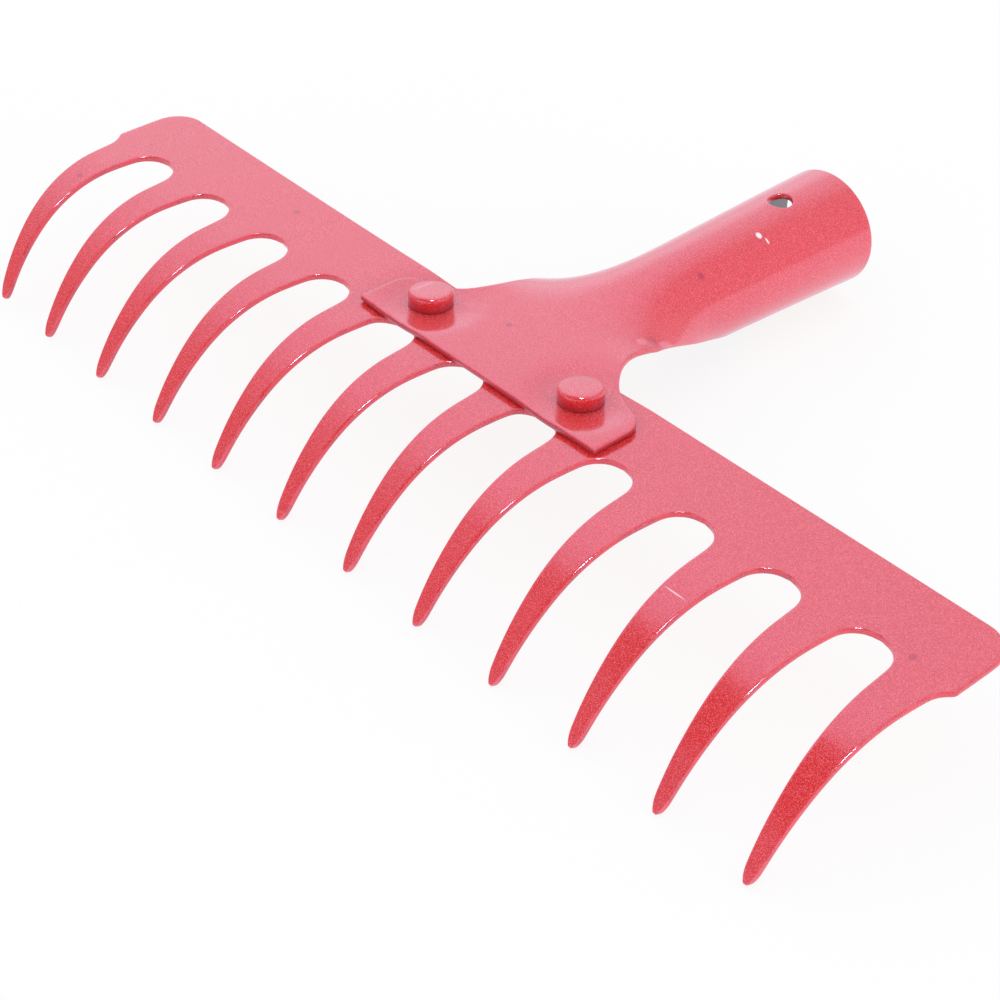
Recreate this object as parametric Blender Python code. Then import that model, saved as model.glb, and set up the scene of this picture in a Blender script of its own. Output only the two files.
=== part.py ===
"""Garden rake head: a stamped blade of twelve bent tines, riveted to a pressed socket.

The blade is one sheet, punched into a comb and bent down along its tines. A second
sheet lies on it as a flat palm, narrows to a neck and is rolled into an open-seamed
tube that takes the handle. Two solid rivets go down through both sheets.

Everything is laid out in metres from the line through the slot centres: X runs along
the blade, Y back towards the handle, Z up from the blade's top. The head is then
lifted until its tine tips and the rim of its socket stand on Z = 0.
"""

import math

import bmesh
import bpy

# Fits
SEAT_GAP = 0.0003
SEAM_GAP = 0.0012

# Blade
TINE_COUNT = 12
TINE_PITCH = 0.026
BLADE_SHEET = 0.0017
SLOT_RADIUS = 0.0074
BAND_DEPTH = 0.0275
END_OVERHANG = 0.0088
END_CORNER_RADIUS = 0.0085

# Tines, measured along the sheet's top
TINE_FLAT = 0.005
BEND_RADIUS = 0.039
BEND_ANGLE = math.radians(39.5)
SWEEP_RADIUS = 0.061
TIP_WIDTH = 0.0028
TIP_ROUND = 0.0041

# Palm of the socket
SOCKET_SHEET = 0.0017
PALM_SETBACK = 0.0044
PALM_WIDTH = 0.0875
PALM_SIDE = 0.0131
PALM_CORNER_RADIUS = 0.0035
PALM_OFFSET = 0.0023
PALM_OFFSET_FADE = 0.032
SHOULDER_SLOPE = math.radians(23)
SHOULDER_FILLET_RADIUS = 0.0198

# Neck and tube of the socket
NECK_WIDTH = 0.0441
NECK_LENGTH = 0.0104
CURL_LEAD = 0.0078
CURL_LENGTH = 0.0456
FLAP_LENGTH = 0.0648
SOCKET_LENGTH = 0.1324
MOUTH_DIAMETER = 0.033
TUBE_TAPER = math.radians(1.9)
TUBE_RISE = 0.0023
NAIL_HOLE_DIAMETER = 0.0064
NAIL_HOLE_SETBACK = 0.021

# Rivets
RIVET_END_MARGIN = 0.01605
RIVET_SETBACK = 0.0165
RIVET_SHANK_DIAMETER = 0.006
RIVET_HEAD_DIAMETER = 0.0116
RIVET_HEAD_HEIGHT = 0.0038
RIVET_HEAD_ROUND = 0.0007
CLOSING_HEAD_DIAMETER = 0.0104
CLOSING_HEAD_HEIGHT = 0.0026

# Facets
STRIP_COLUMNS = 2
CORNER_STEPS = 5
SLOT_STEPS = 4
BEND_STEPS = 8
SWEEP_STEPS = 5
TIP_STEPS = 4
TIP_END_TURN = math.radians(80)
SOCKET_COLUMNS = 36
FILLET_STEPS = 6
ROLL_STEPS = 16
TUBE_STEPS = 4
ROUND_FACETS = 32
HEAD_STEPS = 3
DOME_STEPS = 5
CUTTER_REACH = 0.004
WELD = 0.00001

# Paint
PAINT_RED = (0.60, 0.018, 0.032, 1.0)
PAINT_ROUGHNESS = 0.22


# Heights that the pieces share
PALM_UNDER = SEAT_GAP
PALM_TOP = PALM_UNDER + SOCKET_SHEET
TUBE_TOP = PALM_TOP + TUBE_RISE
STAND_HEIGHT = MOUTH_DIAMETER - TUBE_TOP
MOUTH_Y = PALM_SETBACK + SOCKET_LENGTH


def clear_scene():
    for old in list(bpy.data.objects):
        bpy.data.objects.remove(old, do_unlink=True)


def ease(share):
    """A smooth step from 0 to 1 with level ends."""
    share = min(max(share, 0.0), 1.0)
    return share * share * (3.0 - 2.0 * share)


def blend(start, end, share):
    return start + (end - start) * share


def steps(start, end, count):
    """Values from start to end in equal steps, with start left out."""
    return [blend(start, end, (step + 1) / count) for step in range(count)]


# The bend of the tines


def tip_angle():
    """How steeply the tines end, so that their tips stand level with the socket's rim."""
    above_tips = BEND_RADIUS * (1 - math.cos(BEND_ANGLE)) + SWEEP_RADIUS * math.cos(BEND_ANGLE)
    return math.acos((above_tips - STAND_HEIGHT) / (SWEEP_RADIUS - BLADE_SHEET))


TIP_ANGLE = tip_angle()
BEND_END = TINE_FLAT + BEND_RADIUS * BEND_ANGLE
TINE_LENGTH = BEND_END + SWEEP_RADIUS * (TIP_ANGLE - BEND_ANGLE)


def bent(run):
    """(y, z) of the sheet's top, this far along it in front of the slot centres."""
    if run <= TINE_FLAT:
        return -run, 0.0
    turn = min((run - TINE_FLAT) / BEND_RADIUS, BEND_ANGLE)
    y = -TINE_FLAT - BEND_RADIUS * math.sin(turn)
    z = -BEND_RADIUS * (1 - math.cos(turn))
    if run > BEND_END:
        end = BEND_ANGLE + (run - BEND_END) / SWEEP_RADIUS
        y -= SWEEP_RADIUS * (math.sin(end) - math.sin(BEND_ANGLE))
        z -= SWEEP_RADIUS * (math.cos(BEND_ANGLE) - math.cos(end))
    return y, z


# The outline of the blade


def tine_reach(run):
    """From a tine's middle to its side, where the comb is open."""
    root = TINE_PITCH / 2 - SLOT_RADIUS
    reach = blend(root, TIP_WIDTH / 2, run / TINE_LENGTH)
    into_tip = (run - (TINE_LENGTH - TIP_ROUND)) / TIP_ROUND
    if into_tip > 0:
        reach *= math.sqrt(1 - (into_tip * math.sin(TIP_END_TURN)) ** 2)
    return reach


def strip_reach(run):
    """Half the width of one tine's strip, which joins its neighbours behind the slots."""
    if run >= 0:
        return tine_reach(run)
    if run > -SLOT_RADIUS:
        return TINE_PITCH / 2 - math.sqrt(SLOT_RADIUS**2 - run**2)
    return TINE_PITCH / 2


def end_reach(run):
    """From the blade's middle to its end, rounded at the back corner."""
    end = (TINE_COUNT - 1) / 2 * TINE_PITCH + END_OVERHANG
    into_corner = min(END_CORNER_RADIUS - BAND_DEPTH - run, END_CORNER_RADIUS)
    if into_corner > 0:
        end -= END_CORNER_RADIUS - math.sqrt(END_CORNER_RADIUS**2 - into_corner**2)
    return end


def notch_turn():
    """Where the last slot's arc runs out through the blade's end, as an angle from its back."""
    across = (TINE_PITCH / 2 - END_OVERHANG) / SLOT_RADIUS
    return math.asin(min(max(across, 0.1), 0.9))


def blade_runs():
    """Where the strips are cut across, from the tips back to the blade's back edge."""
    runs = [-BAND_DEPTH]
    runs += [
        -BAND_DEPTH + END_CORNER_RADIUS * (1 - math.cos(turn))
        for turn in steps(0, math.pi / 2, CORNER_STEPS)
    ]
    runs.append(-SLOT_RADIUS)
    slot_turns = steps(0, notch_turn(), SLOT_STEPS) + steps(notch_turn(), math.pi / 2, SLOT_STEPS)
    runs += [-SLOT_RADIUS * math.cos(turn) for turn in slot_turns]
    runs.append(TINE_FLAT)
    runs += steps(TINE_FLAT, BEND_END, BEND_STEPS)
    runs += steps(BEND_END, TINE_LENGTH - TIP_ROUND, SWEEP_STEPS)
    runs += [
        TINE_LENGTH - TIP_ROUND + TIP_ROUND * math.sin(turn) / math.sin(TIP_END_TURN)
        for turn in steps(0, TIP_END_TURN, TIP_STEPS)
    ]
    return runs[::-1]


def strip_sides(index, run):
    """The x of both sides of one tine's strip."""
    middle = (index - (TINE_COUNT - 1) / 2) * TINE_PITCH
    left = max(middle - strip_reach(run), -end_reach(run))
    right = min(middle + strip_reach(run), end_reach(run))
    return left, right


# Sheets and solids


def add_grid(bm, columns, rows, place):
    """Adds a grid of faces, each point set by place(share across, row number)."""
    made = bmesh.ops.create_grid(bm, x_segments=columns, y_segments=rows, size=1)
    for vert in made["verts"]:
        row = round((vert.co.y + 1) / 2 * rows)
        vert.co = place((vert.co.x + 1) / 2, row)


def paint(name):
    material = bpy.data.materials.new(name)
    material.use_nodes = True
    shader = material.node_tree.nodes["Principled BSDF"]
    shader.inputs["Base Color"].default_value = PAINT_RED
    shader.inputs["Roughness"].default_value = PAINT_ROUGHNESS
    shader.inputs["Metallic"].default_value = 0.0
    return material


def make_object(name, bm, parent):
    """An object that holds this bmesh, carried by the head's empty."""
    mesh = bpy.data.meshes.new(name)
    bm.to_mesh(mesh)
    bm.free()
    obj = bpy.data.objects.new(name, mesh)
    obj.parent = parent
    bpy.context.scene.collection.objects.link(obj)
    return obj


def give_thickness(obj, thickness):
    """Turns a sheet's top into the sheet, grown to the side away from its normals."""
    solid = obj.modifiers.new("sheet", "SOLIDIFY")
    solid.thickness = thickness
    solid.offset = -1
    solid.use_even_offset = True


def cut(obj, cutter):
    hole = obj.modifiers.new("cut " + cutter.name, "BOOLEAN")
    hole.operation = "DIFFERENCE"
    hole.solver = "EXACT"
    hole.object = cutter


def add_cutter(name, parent, diameter, bottom, top, x, y):
    """A hidden upright cylinder that cuts a round hole."""
    bm = bmesh.new()
    bmesh.ops.create_cone(
        bm,
        cap_ends=True,
        segments=ROUND_FACETS,
        radius1=diameter / 2,
        radius2=diameter / 2,
        depth=top - bottom,
    )
    cutter = make_object(name, bm, parent)
    cutter.location = (x, y, (top + bottom) / 2)
    cutter.hide_render = True
    cutter.display_type = "WIRE"
    return cutter


# The pieces


def add_blade(parent):
    """The comb: one strip for each tine, welded where they meet behind the slots."""
    runs = blade_runs()
    bm = bmesh.new()
    for index in range(TINE_COUNT):

        def place(share, row, index=index):
            left, right = strip_sides(index, runs[row])
            y, z = bent(runs[row])
            return blend(left, right, share), y, z

        add_grid(bm, STRIP_COLUMNS, len(runs) - 1, place)
    bmesh.ops.remove_doubles(bm, verts=bm.verts, dist=WELD)
    blade = make_object("rake_blade", bm, parent)
    blade.data.materials.append(paint("blade_paint"))
    give_thickness(blade, BLADE_SHEET)
    return blade


def shoulder_points():
    """(y, half width) where the palm's corner, its sloped shoulder and the neck's fillet meet."""
    corner_end = PALM_SETBACK + PALM_SIDE + PALM_CORNER_RADIUS * math.cos(SHOULDER_SLOPE)
    corner_reach = PALM_WIDTH / 2 - PALM_CORNER_RADIUS * (1 - math.sin(SHOULDER_SLOPE))
    fillet_reach = NECK_WIDTH / 2 + SHOULDER_FILLET_RADIUS * (1 - math.sin(SHOULDER_SLOPE))
    fillet_start = corner_end + (corner_reach - fillet_reach) * math.tan(SHOULDER_SLOPE)
    neck_start = fillet_start + SHOULDER_FILLET_RADIUS * math.cos(SHOULDER_SLOPE)
    return (corner_end, corner_reach), (fillet_start, fillet_reach), (neck_start, NECK_WIDTH / 2)


CORNER_END, FILLET_START, NECK_START = shoulder_points()
CURL_START = NECK_START[0] - CURL_LEAD
FLAP_START = NECK_START[0] + NECK_LENGTH
SEAM_START = FLAP_START + FLAP_LENGTH


def tube_radius(y):
    """Outside radius of the rolled tube, whose top stays level and whose bore tapers."""
    return MOUTH_DIAMETER / 2 - (MOUTH_Y - y) * math.tan(TUBE_TAPER)


def rolled_reach(y):
    """Half the flat width of a sheet that closes the tube up to the seam."""
    return math.pi * tube_radius(y) - SEAM_GAP / 2


def socket_reach(y):
    """Half the flat width of the socket's sheet, from its palm to its mouth."""
    if y <= PALM_SETBACK + PALM_SIDE:
        return PALM_WIDTH / 2
    if y <= CORNER_END[0]:
        into_corner = y - PALM_SETBACK - PALM_SIDE
        drop = PALM_CORNER_RADIUS - math.sqrt(PALM_CORNER_RADIUS**2 - into_corner**2)
        return PALM_WIDTH / 2 - drop
    if y <= FILLET_START[0]:
        share = (y - CORNER_END[0]) / (FILLET_START[0] - CORNER_END[0])
        return blend(CORNER_END[1], FILLET_START[1], share)
    if y <= NECK_START[0]:
        to_neck = NECK_START[0] - y
        side = math.sqrt(SHOULDER_FILLET_RADIUS**2 - to_neck**2)
        return NECK_WIDTH / 2 + SHOULDER_FILLET_RADIUS - side
    widening = ease((y - FLAP_START) / FLAP_LENGTH)
    return blend(NECK_WIDTH / 2, rolled_reach(y), widening)


def socket_rows():
    """Where the socket's sheet is cut across, from the palm's front edge to the mouth."""
    side_end = PALM_SETBACK + PALM_SIDE
    shoulder_turn = math.pi / 2 - SHOULDER_SLOPE
    rows = [PALM_SETBACK, side_end]
    rows += [
        side_end + PALM_CORNER_RADIUS * math.sin(turn)
        for turn in steps(0, shoulder_turn, CORNER_STEPS)
    ]
    rows += [
        NECK_START[0] - SHOULDER_FILLET_RADIUS * math.sin(turn)
        for turn in [shoulder_turn] + steps(shoulder_turn, 0, FILLET_STEPS)
    ]
    rows += steps(NECK_START[0], SEAM_START, ROLL_STEPS)
    rows += steps(SEAM_START, MOUTH_Y, TUBE_STEPS)
    return rows


def palm_offset(y):
    """How far the sheet's middle lies to the right of the tube's, most in the palm."""
    return PALM_OFFSET * (1 - ease((y - PALM_SETBACK - PALM_SIDE) / PALM_OFFSET_FADE))


def socket_point(share, y):
    """A point of the sheet's outside: flat in the palm, rolled into a tube at the back."""
    curl = ease((y - CURL_START) / CURL_LENGTH)
    middle = palm_offset(y)
    along = blend(-1, 1, share) * socket_reach(y)
    top = PALM_TOP + TUBE_RISE * curl
    if curl == 0:
        return middle + along, y, top
    radius = tube_radius(y) / curl
    turn = along / radius
    return middle + radius * math.sin(turn), y, top - radius * (1 - math.cos(turn))


def add_socket(parent):
    rows = socket_rows()
    bm = bmesh.new()
    add_grid(bm, SOCKET_COLUMNS, len(rows) - 1, lambda share, row: socket_point(share, rows[row]))
    socket = make_object("socket", bm, parent)
    socket.data.materials.append(paint("socket_paint"))
    give_thickness(socket, SOCKET_SHEET)
    for face in socket.data.polygons:
        face.use_smooth = True
    nail_hole = add_cutter(
        "nail_hole",
        parent,
        NAIL_HOLE_DIAMETER,
        TUBE_TOP - MOUTH_DIAMETER / 2,
        TUBE_TOP + CUTTER_REACH,
        0,
        MOUTH_Y - NAIL_HOLE_SETBACK,
    )
    cut(socket, nail_hole)
    return socket


def rivet_outline():
    """(radius, z) down the side of a rivet, from the middle of its head to the closing head's."""
    head_base = PALM_TOP + SEAT_GAP
    head_top = PALM_TOP + RIVET_HEAD_HEIGHT
    flat = RIVET_HEAD_DIAMETER / 2 - RIVET_HEAD_ROUND
    points = [(0, head_top), (flat, head_top)]
    points += [
        (flat + RIVET_HEAD_ROUND * math.sin(turn), head_top - RIVET_HEAD_ROUND * (1 - math.cos(turn)))
        for turn in steps(0, math.pi / 2, HEAD_STEPS)
    ]
    points.append((RIVET_HEAD_DIAMETER / 2, head_base))
    points.append((RIVET_SHANK_DIAMETER / 2, head_base))
    closing_top = -BLADE_SHEET - SEAT_GAP
    points.append((RIVET_SHANK_DIAMETER / 2, closing_top))
    points += [
        (CLOSING_HEAD_DIAMETER / 2 * math.cos(turn), closing_top - CLOSING_HEAD_HEIGHT * math.sin(turn))
        for turn in [0] + steps(0, math.pi / 2, DOME_STEPS)
    ]
    return points


def add_rivet(name, parent, x):
    """One solid rivet, turned about its own axis, and the hole that its shank goes through."""
    bm = bmesh.new()
    outline = [bm.verts.new((radius, 0, z)) for radius, z in rivet_outline()]
    edges = [bm.edges.new(pair) for pair in zip(outline, outline[1:])]
    bmesh.ops.spin(
        bm,
        geom=outline + edges,
        cent=(0, 0, 0),
        axis=(0, 0, 1),
        angle=2 * math.pi,
        steps=ROUND_FACETS,
        use_merge=True,
    )
    bmesh.ops.remove_doubles(bm, verts=bm.verts, dist=WELD)
    bmesh.ops.recalc_face_normals(bm, faces=bm.faces)
    for face in bm.faces:
        face.smooth = True
    rivet = make_object(name, bm, parent)
    rivet.location = (x, RIVET_SETBACK, 0)
    rivet.data.materials.append(paint(name + "_paint"))
    return rivet


def add_rivets(parent, blade, socket):
    """Both rivets, spread with the palm but centred on the tube, and their holes in both sheets."""
    reach = PALM_WIDTH / 2 - RIVET_END_MARGIN
    for side, x in (("left", -reach), ("right", reach)):
        add_rivet("rivet_" + side, parent, x)
        hole = add_cutter(
            "rivet_hole_" + side,
            parent,
            RIVET_SHANK_DIAMETER + 2 * SEAT_GAP,
            -BLADE_SHEET - CUTTER_REACH,
            PALM_TOP + CUTTER_REACH,
            x,
            RIVET_SETBACK,
        )
        cut(blade, hole)
        cut(socket, hole)


def add_rake_head():
    """The whole head, centred over the ground that its tips and its socket's rim stand on."""
    tip_y, _ = bent(TINE_LENGTH)
    head = bpy.data.objects.new("rake_head", None)
    head.location = (0, -(tip_y + MOUTH_Y) / 2, STAND_HEIGHT)
    bpy.context.scene.collection.objects.link(head)
    blade = add_blade(head)
    socket = add_socket(head)
    add_rivets(head, blade, socket)


clear_scene()
add_rake_head()
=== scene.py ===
# %% [markdown]
# # A garden rake head in glossy red paint
#
# This lesson dresses a rake head that is already built as plain solids: a blade with
# twelve bent tines, a socket that is rolled out of one sheet, and two rivets. The packed
# solids come in as a fixed frame. Each one is then replaced by a finer piece that is cut
# out flat and bent, as the metalworker does it. Then the pieces are painted and lit, and
# get the small faults of a head that has been in a shop and a shed.

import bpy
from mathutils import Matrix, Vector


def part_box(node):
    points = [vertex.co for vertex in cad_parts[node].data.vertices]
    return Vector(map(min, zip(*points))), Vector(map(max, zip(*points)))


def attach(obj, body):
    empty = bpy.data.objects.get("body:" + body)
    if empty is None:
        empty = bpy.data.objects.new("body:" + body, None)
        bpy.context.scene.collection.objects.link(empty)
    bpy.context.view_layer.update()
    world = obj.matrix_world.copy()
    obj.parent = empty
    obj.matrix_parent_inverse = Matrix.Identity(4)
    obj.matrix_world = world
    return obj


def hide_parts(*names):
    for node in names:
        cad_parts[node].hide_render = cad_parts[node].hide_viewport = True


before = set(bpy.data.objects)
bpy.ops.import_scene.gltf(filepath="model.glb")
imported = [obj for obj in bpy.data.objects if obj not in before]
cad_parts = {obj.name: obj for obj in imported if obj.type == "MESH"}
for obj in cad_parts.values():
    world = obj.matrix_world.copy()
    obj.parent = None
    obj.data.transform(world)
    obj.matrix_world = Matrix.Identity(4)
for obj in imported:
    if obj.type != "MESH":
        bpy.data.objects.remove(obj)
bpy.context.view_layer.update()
print("solids to dress:", sorted(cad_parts))

# %% Tools and the solids' own boxes
import math

import bmesh
import bpy
from mathutils import Matrix, Vector

blade_low, blade_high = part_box("rake_blade")
rivet_boxes = {name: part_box(name) for name in ("rivet_left", "rivet_right")}
rivet_centres = {name: (low + high) / 2 for name, (low, high) in rivet_boxes.items()}

END_TRIM = 0.0003
BLADE_TOP = blade_high.z
BLADE_BACK = blade_high.y
BLADE_END = blade_high.x - END_TRIM
print(f"blade {2000 * BLADE_END:.1f} mm long, {1000 * (BLADE_BACK - blade_low.y):.1f} mm deep")

# %% [markdown]
# ## The camera
#
# The picture looks down on the head from its front right, so the right end of the blade
# is nearest. A camera could be tracked to a target, but a plain turn about three axes
# says more: azimuth round the head, elevation above the floor, and a slight roll.

# %% Place the camera
VIEW_AZIMUTH = math.radians(48.025)
VIEW_ELEVATION = math.radians(38.342)
VIEW_ROLL = math.radians(0.682)
VIEW_DISTANCE = 0.50617
VIEW_TARGET = Vector((0.0429, -0.06853, BLADE_TOP))
VIEW_LENS = 80.64

turn = (
    Matrix.Rotation(VIEW_AZIMUTH, 3, "Z")
    @ Matrix.Rotation(math.pi / 2 - VIEW_ELEVATION, 3, "X")
    @ Matrix.Rotation(VIEW_ROLL, 3, "Z")
)
camera = bpy.data.objects.new("camera", bpy.data.cameras.new("camera"))
camera.data.lens = VIEW_LENS
camera.data.clip_start = 0.01
camera.matrix_world = turn.to_4x4()
camera.location = VIEW_TARGET + turn.col[2] * VIEW_DISTANCE
bpy.context.scene.collection.objects.link(camera)
bpy.context.scene.camera = camera
bpy.context.scene.view_settings.view_transform = "Standard"
print("camera at", [round(c, 3) for c in camera.location])

# %% [markdown]
# ## Helpers for bent sheet
#
# Both big pieces are sheet metal. Each starts as a flat grid whose points are put where
# the punched outline needs them, and is bent afterwards. A Solidify modifier gives the
# sheet its thickness, and a Subdivision Surface turns the grid into smooth curves. A row
# or column of points close to every edge keeps that edge crisp, but slightly rounded, as
# a punched and painted edge is. The rounding could also be bevelled, but a bevel would
# have to follow the bend, while a close row simply bends with the sheet.

# %% Steps, blends and the sheet's edge
SHEET = 0.0017
EDGE_ROUND = 0.0007
WELD = 0.00001


def ease(share):
    """A smooth step from 0 to 1 with level ends."""
    share = min(max(share, 0.0), 1.0)
    return share * share * (3 - 2 * share)


def blend(start, end, share):
    return start + (end - start) * share


def steps(start, end, count):
    """Values from start to end in equal steps, with start left out."""
    return [blend(start, end, (step + 1) / count) for step in range(count)]


def across(left, right, column, columns, rounding=EDGE_ROUND):
    """Where a column lies between two sides.

    The outer columns keep close to the sides, by a fifth of the width at most.
    """
    if column in (0, columns):
        return right if column else left
    near = min(rounding, (right - left) / 5)
    return blend(left + near, right - near, (column - 1) / (columns - 2))


def add_grid(bm, columns, rows, place):
    """Adds a grid of quads, each point put at place(column, row)."""
    made = bmesh.ops.create_grid(bm, x_segments=columns, y_segments=rows, size=1)
    for point in made["verts"]:
        column = round((point.co.x + 1) / 2 * columns)
        row = round((point.co.y + 1) / 2 * rows)
        point.co = place(column, row)


print(f"sheet of {SHEET * 1000:.1f} mm, its edges rounded by {EDGE_ROUND * 1000:.1f} mm")

# %% [markdown]
# A hole is punched while the sheet is flat. A Boolean would cut it too, but it leaves
# slivers that a Subdivision Surface turns into dents. Here the point nearest to the hole
# is taken out with its four faces, the edges of the gap are halved, and the ring of
# points is turned into a circle. The last step is a narrow lip that keeps the edge crisp.

# %% Punch round holes while the sheet is flat
def punch(bm, x, y, radius):
    """Takes out the nearest point and turns the ring of points round it into a circle."""
    centre = Vector((x, y, 0))
    nearest = min(bm.verts, key=lambda point: (point.co - centre).length)
    ring = {point for face in nearest.link_faces for point in face.verts} - {nearest}
    old = nearest.co.copy()
    bmesh.ops.delete(bm, geom=[nearest], context="VERTS")
    rim = [edge for edge in bm.edges if edge.is_boundary and set(edge.verts) <= ring]
    split = bmesh.ops.subdivide_edges(bm, edges=rim, cuts=1)["geom"]
    rim = [part for part in split if isinstance(part, bmesh.types.BMEdge) and part.is_boundary]
    ring = {point for edge in rim for point in edge.verts}
    ring = sorted(ring, key=lambda p: math.atan2(p.co.y - old.y, p.co.x - old.x))
    start = math.atan2(ring[0].co.y - old.y, ring[0].co.x - old.x)
    for number, point in enumerate(ring):
        angle = start + number * math.tau / len(ring)
        point.co = centre + Vector((math.cos(angle), math.sin(angle), 0)) * (radius + EDGE_ROUND)
    lip = bmesh.ops.extrude_edge_only(bm, edges=rim)["geom"]
    bmesh.ops.scale(
        bm,
        vec=Vector((1, 1, 1)) * radius / (radius + EDGE_ROUND),
        space=Matrix.Translation(-centre),
        verts=[part for part in lip if isinstance(part, bmesh.types.BMVert)],
    )
    print(f"hole of {radius * 2000:.1f} mm with {len(ring)} corners")


# %% [markdown]
# The hammer that closes a rivet also pushes the sheets down round it. The dish is less
# than a millimetre deep, yet in gloss paint it shows at once, as a ring round the head.
# It could be pressed in with a brush, but as a rule for the height of any point it sinks
# palm and blade by the same amount.

# %% The dish round each rivet
DISH_DEPTH = 0.0008
DISH_FLOOR = 0.0085
DISH_RIM = 0.0155


def dished(x, y):
    """How far the hammered rivets have pushed the sheets down here."""
    depth = 0
    for rivet in rivet_centres.values():
        away = math.hypot(x - rivet.x, y - rivet.y)
        depth += DISH_DEPTH * ease((DISH_RIM - away) / (DISH_RIM - DISH_FLOOR))
    return depth


print(f"each dish is {DISH_DEPTH * 1000:.1f} mm deep and {DISH_RIM * 2000:.0f} mm across")

# %% [markdown]
# Every sheet ends in the same few steps, so they are one helper. It also marks the points
# on the sheet's edges with a value of 1. The Subdivision Surface fades that value over the
# nearest row, and the paint reads it later to know where it is worn and where it gets a
# painted highlight.

# %% Turn a bent sheet into a piece
SMOOTH_LEVELS = 2


def mark_edges(bm):
    """Notes 1 at the points on the sheet's edges and 0 elsewhere: there the paint is paler, partly
    wear and partly a painted highlight.
    """
    mark = bm.verts.layers.float.new("edge")
    for point in bm.verts:
        point[mark] = float(point.is_boundary)


def make_sheet(name, bm, node):
    """Gives the bent grid its thickness and smooth curves, and lets it stand for the node."""
    mark_edges(bm)
    for face in bm.faces:
        face.smooth = True
    mesh = bpy.data.meshes.new(name)
    bm.to_mesh(mesh)
    bm.free()
    piece = bpy.data.objects.new(name, mesh)
    bpy.context.scene.collection.objects.link(piece)
    solid = piece.modifiers.new("sheet thickness", "SOLIDIFY")
    solid.thickness = SHEET
    solid.offset = -1
    smooth = piece.modifiers.new("smooth curves", "SUBSURF")
    smooth.levels = smooth.render_levels = SMOOTH_LEVELS
    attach(piece, "root")
    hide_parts(node)
    print(f"{name}: {len(mesh.polygons)} faces before it is smoothed")
    return piece


# %% [markdown]
# ## The blade
#
# The real blade is punched out of steel sheet as a comb: a straight band along the back,
# twelve tines in front, and a round-bottomed slot between each pair. A press then bends
# all the tines down at once. A comb could be cut out of a plate with a Boolean for each
# slot, but it would have no clean rows to bend. Here one strip of grid is laid for each
# tine. The strips share their sides behind the slots, so welding them makes one comb.

# %% The comb's outline
TINE_COUNT = 12
TINE_PITCH = 0.026
SLOT_RADIUS = 0.0074
BAND_DEPTH = 0.0275
END_CORNER_RADIUS = 0.0085
TIP_WIDTH = 0.0034
TIP_ROUND = 0.0041
TIP_END_TURN = math.radians(80)

SLOT_LINE = BLADE_BACK - BAND_DEPTH
END_OVERHANG = BLADE_END - (TINE_COUNT - 1) / 2 * TINE_PITCH
print(f"the slots' centres lie {BAND_DEPTH * 1000:.1f} mm in front of the back edge")

# %% [markdown]
# A tine leaves the blade flat, turns down through a tight bend and goes on in a wider
# sweep. Its end is worked out rather than set: the sweep stops where the tips stand on
# the ground, level with the rim of the socket.

# %% The bend of the tines
TINE_FLAT = 0.005
BEND_RADIUS = 0.039
BEND_ANGLE = math.radians(39.5)
SWEEP_RADIUS = 0.061

drop_to_centre = BEND_RADIUS * (1 - math.cos(BEND_ANGLE)) + SWEEP_RADIUS * math.cos(BEND_ANGLE)
TIP_ANGLE = math.acos((drop_to_centre - BLADE_TOP) / (SWEEP_RADIUS - SHEET))
BEND_END = TINE_FLAT + BEND_RADIUS * BEND_ANGLE
TINE_LENGTH = BEND_END + SWEEP_RADIUS * (TIP_ANGLE - BEND_ANGLE)


def bent(run):
    """(y, z) on the blade's top, this far along the sheet in front of the slots' centres."""
    if run <= TINE_FLAT:
        return SLOT_LINE - run, BLADE_TOP
    angle = min((run - TINE_FLAT) / BEND_RADIUS, BEND_ANGLE)
    y = SLOT_LINE - TINE_FLAT - BEND_RADIUS * math.sin(angle)
    z = BLADE_TOP - BEND_RADIUS * (1 - math.cos(angle))
    if run > BEND_END:
        end = BEND_ANGLE + (run - BEND_END) / SWEEP_RADIUS
        y -= SWEEP_RADIUS * (math.sin(end) - math.sin(BEND_ANGLE))
        z -= SWEEP_RADIUS * (math.cos(BEND_ANGLE) - math.cos(end))
    return y, z


print(f"each tine is {TINE_LENGTH * 1000:.1f} mm of sheet")
print(f"its tip points {math.degrees(TIP_ANGLE):.0f} degrees down")


# %% [markdown]
# The outline is a rule as well. It gives the half width of a strip at any distance along
# the sheet: a straight taper along the tine, a rounded tip, the arc of the slot's end, and
# behind it half a pitch, where two strips meet.

# %% Half widths along one strip
def tine_reach(run):
    """From a tine's middle to its side: a straight taper that ends in a rounded tip."""
    reach = blend(TINE_PITCH / 2 - SLOT_RADIUS, TIP_WIDTH / 2, run / TINE_LENGTH)
    into_tip = (run - (TINE_LENGTH - TIP_ROUND)) / TIP_ROUND
    if into_tip > 0:
        reach *= math.sqrt(1 - (into_tip * math.sin(TIP_END_TURN)) ** 2)
    return reach


def strip_reach(run):
    """Half the width of a tine's strip, out to the slot's arc and then to the next strip."""
    if run >= 0:
        return tine_reach(run)
    if run > -SLOT_RADIUS:
        return TINE_PITCH / 2 - math.sqrt(SLOT_RADIUS**2 - run**2)
    return TINE_PITCH / 2


def end_reach(run):
    """From the blade's middle to its end, rounded at the back corner."""
    into_corner = min(END_CORNER_RADIUS - BAND_DEPTH - run, END_CORNER_RADIUS)
    if into_corner <= 0:
        return BLADE_END
    return BLADE_END - END_CORNER_RADIUS + math.sqrt(END_CORNER_RADIUS**2 - into_corner**2)


print(f"a tine is {2000 * tine_reach(0):.1f} mm wide at its root")

# %% [markdown]
# Rows cost faces, so they lie close together where the outline or the bend turns and far
# apart where it runs straight. On an arc they are set at equal turns, which keeps it round
# with few of them.

# %% Where the strips have their rows
CORNER_ROWS = 6
SLOT_ROWS = 3
BEND_ROWS = 8
SWEEP_ROWS = 6
TIP_ROWS = 4

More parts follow.
